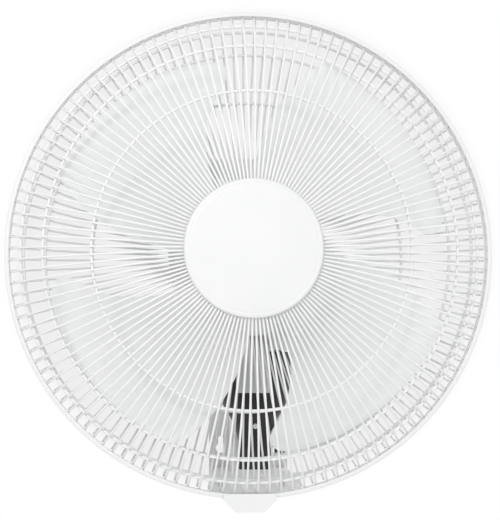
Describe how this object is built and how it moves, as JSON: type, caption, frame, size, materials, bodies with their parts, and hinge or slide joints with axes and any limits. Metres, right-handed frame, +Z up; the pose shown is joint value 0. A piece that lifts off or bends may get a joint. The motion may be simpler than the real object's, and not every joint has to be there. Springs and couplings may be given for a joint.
{
  "type": "wall mounted fan",
  "caption": "White wall mounted fan with a caged four-blade head that tilts and swings on a black neck above a small wall bracket.",
  "frame": {"origin": "middle of the wall plate's back face, on the wall", "axes": "+Y into the wall, +Z up, +X to the right seen from the front; the fan blows towards -Y"},
  "size_m": [0.46, 0.2984, 0.4808],
  "materials": {
    "white_wire": "white coated steel wire, satin",
    "white_plastic": "white moulded plastic, satin gloss",
    "grey_plastic": "pale grey moulded plastic",
    "blade_plastic": "pale grey moulded plastic, slightly glossy",
    "black_plastic": "black moulded plastic, fine grain",
    "steel": "bright drawn steel",
    "cast_metal": "die-cast aluminium, as cast",
    "lamination": "dark stacked steel sheets",
    "copper": "varnished copper wire",
    "bronze": "oiled sintered bronze",
    "nylon": "natural nylon"
  },
  "bodies": {
    "base": {"wall_plate": "white_plastic", "base_housing": "white_plastic", "cord_gland": "black_plastic", "speed_switch": "black_plastic", "run_capacitor": "black_plastic", "terminal_block": "nylon"},
    "speed_knob_body": {"speed_knob": "white_plastic"},
    "neck_body": {"neck": "black_plastic", "neck_plug": "white_plastic", "link_post": "steel", "swivel_washer": "nylon", "tilt_nut": "steel"},
    "tilt_knob_body": {"tilt_knob": "black_plastic"},
    "link_body": {"crank_link": "steel"},
    "head": {"front_guard_spokes": "white_wire", "front_guard_ring_inner": "white_wire", "front_guard_ring_middle": "white_wire", "front_guard_ring_outer": "white_wire", "front_rim_wire": "white_wire", "hub_disc": "white_plastic", "hub_disc_retainer": "steel", "rear_guard_spokes": "white_wire", "rear_guard_ring_inner": "white_wire", "rear_guard_ring_middle": "white_wire", "rear_guard_ring_outer": "white_wire", "rear_rim_wire": "white_wire", "rim_band": "white_plastic", "guard_clip_front": "white_plastic", "guard_clip_rear": "white_plastic", "guard_clip_screw": "steel", "guard_lock_nut": "white_plastic", "motor_front_cover": "white_plastic", "motor_rear_cover": "white_plastic", "motor_front_shell": "cast_metal", "motor_rear_shell": "cast_metal", "stator_core": "lamination", "front_winding": "copper", "rear_winding": "copper", "front_bearing": "bronze", "rear_bearing": "bronze", "gearbox_housing": "cast_metal", "gearbox_lid": "cast_metal", "pivot_bracket": "cast_metal", "pivot_apron": "grey_plastic", "swivel_pin": "steel", "swivel_retaining_ring": "steel"},
    "rotor": {"impeller": "blade_plastic", "blade_nut": "white_plastic", "motor_shaft": "steel", "drive_pin": "steel", "rotor_core": "lamination", "worm": "steel"},
    "worm_wheel_body": {"worm_wheel": "nylon"},
    "crank_body": {"oscillation_crank": "steel"},
    "oscillation_knob_body": {"oscillation_knob": "white_plastic"}
  },
  "joints": [
    {"name": "speed_knob_turn", "type": "hinge", "parent": "base", "child": "speed_knob_body", "pos_m": [0.041, -0.036, -0.02975], "axis": [1, 0, 0], "range_deg": [0, 135]},
    {"name": "neck_tilt", "type": "hinge", "parent": "base", "child": "neck_body", "pos_m": [0, -0.12, 0.018], "axis": [1, 0, 0], "range_deg": [-5, 30]},
    {"name": "tilt_knob_turn", "type": "hinge", "parent": "neck_body", "child": "tilt_knob_body", "pos_m": [0.0164, -0.12, 0.018], "axis": [1, 0, 0], "range_deg": [0, 180]},
    {"name": "head_swivel", "type": "hinge", "parent": "neck_body", "child": "head", "pos_m": [0, -0.12, 0.1125], "axis": [0, 0, 1], "range_deg": [-40, 40]},
    {"name": "link_swing", "type": "hinge", "parent": "neck_body", "child": "link_body", "pos_m": [0.026, -0.11, 0.1085], "axis": [0, 0, 1], "range_deg": [-30, 30]},
    {"name": "fan_spin", "type": "hinge", "parent": "head", "child": "rotor", "pos_m": [-0.01, -0.225, 0.198], "axis": [0, 1, 0], "continuous": true},
    {"name": "worm_wheel_spin", "type": "hinge", "parent": "head", "child": "worm_wheel_body", "pos_m": [-0.0275, -0.087, 0.198], "axis": [0, 0, 1], "continuous": true},
    {"name": "crank_spin", "type": "hinge", "parent": "head", "child": "crank_body", "pos_m": [-0.01, -0.081, 0.18], "axis": [0, 0, 1], "continuous": true},
    {"name": "oscillation_knob_pull", "type": "slide", "parent": "head", "child": "oscillation_knob_body", "axis": [0, 0, 1], "range_m": [0, 0.007]}
  ],
  "couplings": [
    {"joint": "worm_wheel_spin", "follows": "fan_spin", "ratio": -0.020833},
    {"joint": "crank_spin", "follows": "fan_spin", "ratio": 0.0069444},
    {"joint": "link_swing", "follows": "head_swivel", "ratio": 0.74}
  ]
}
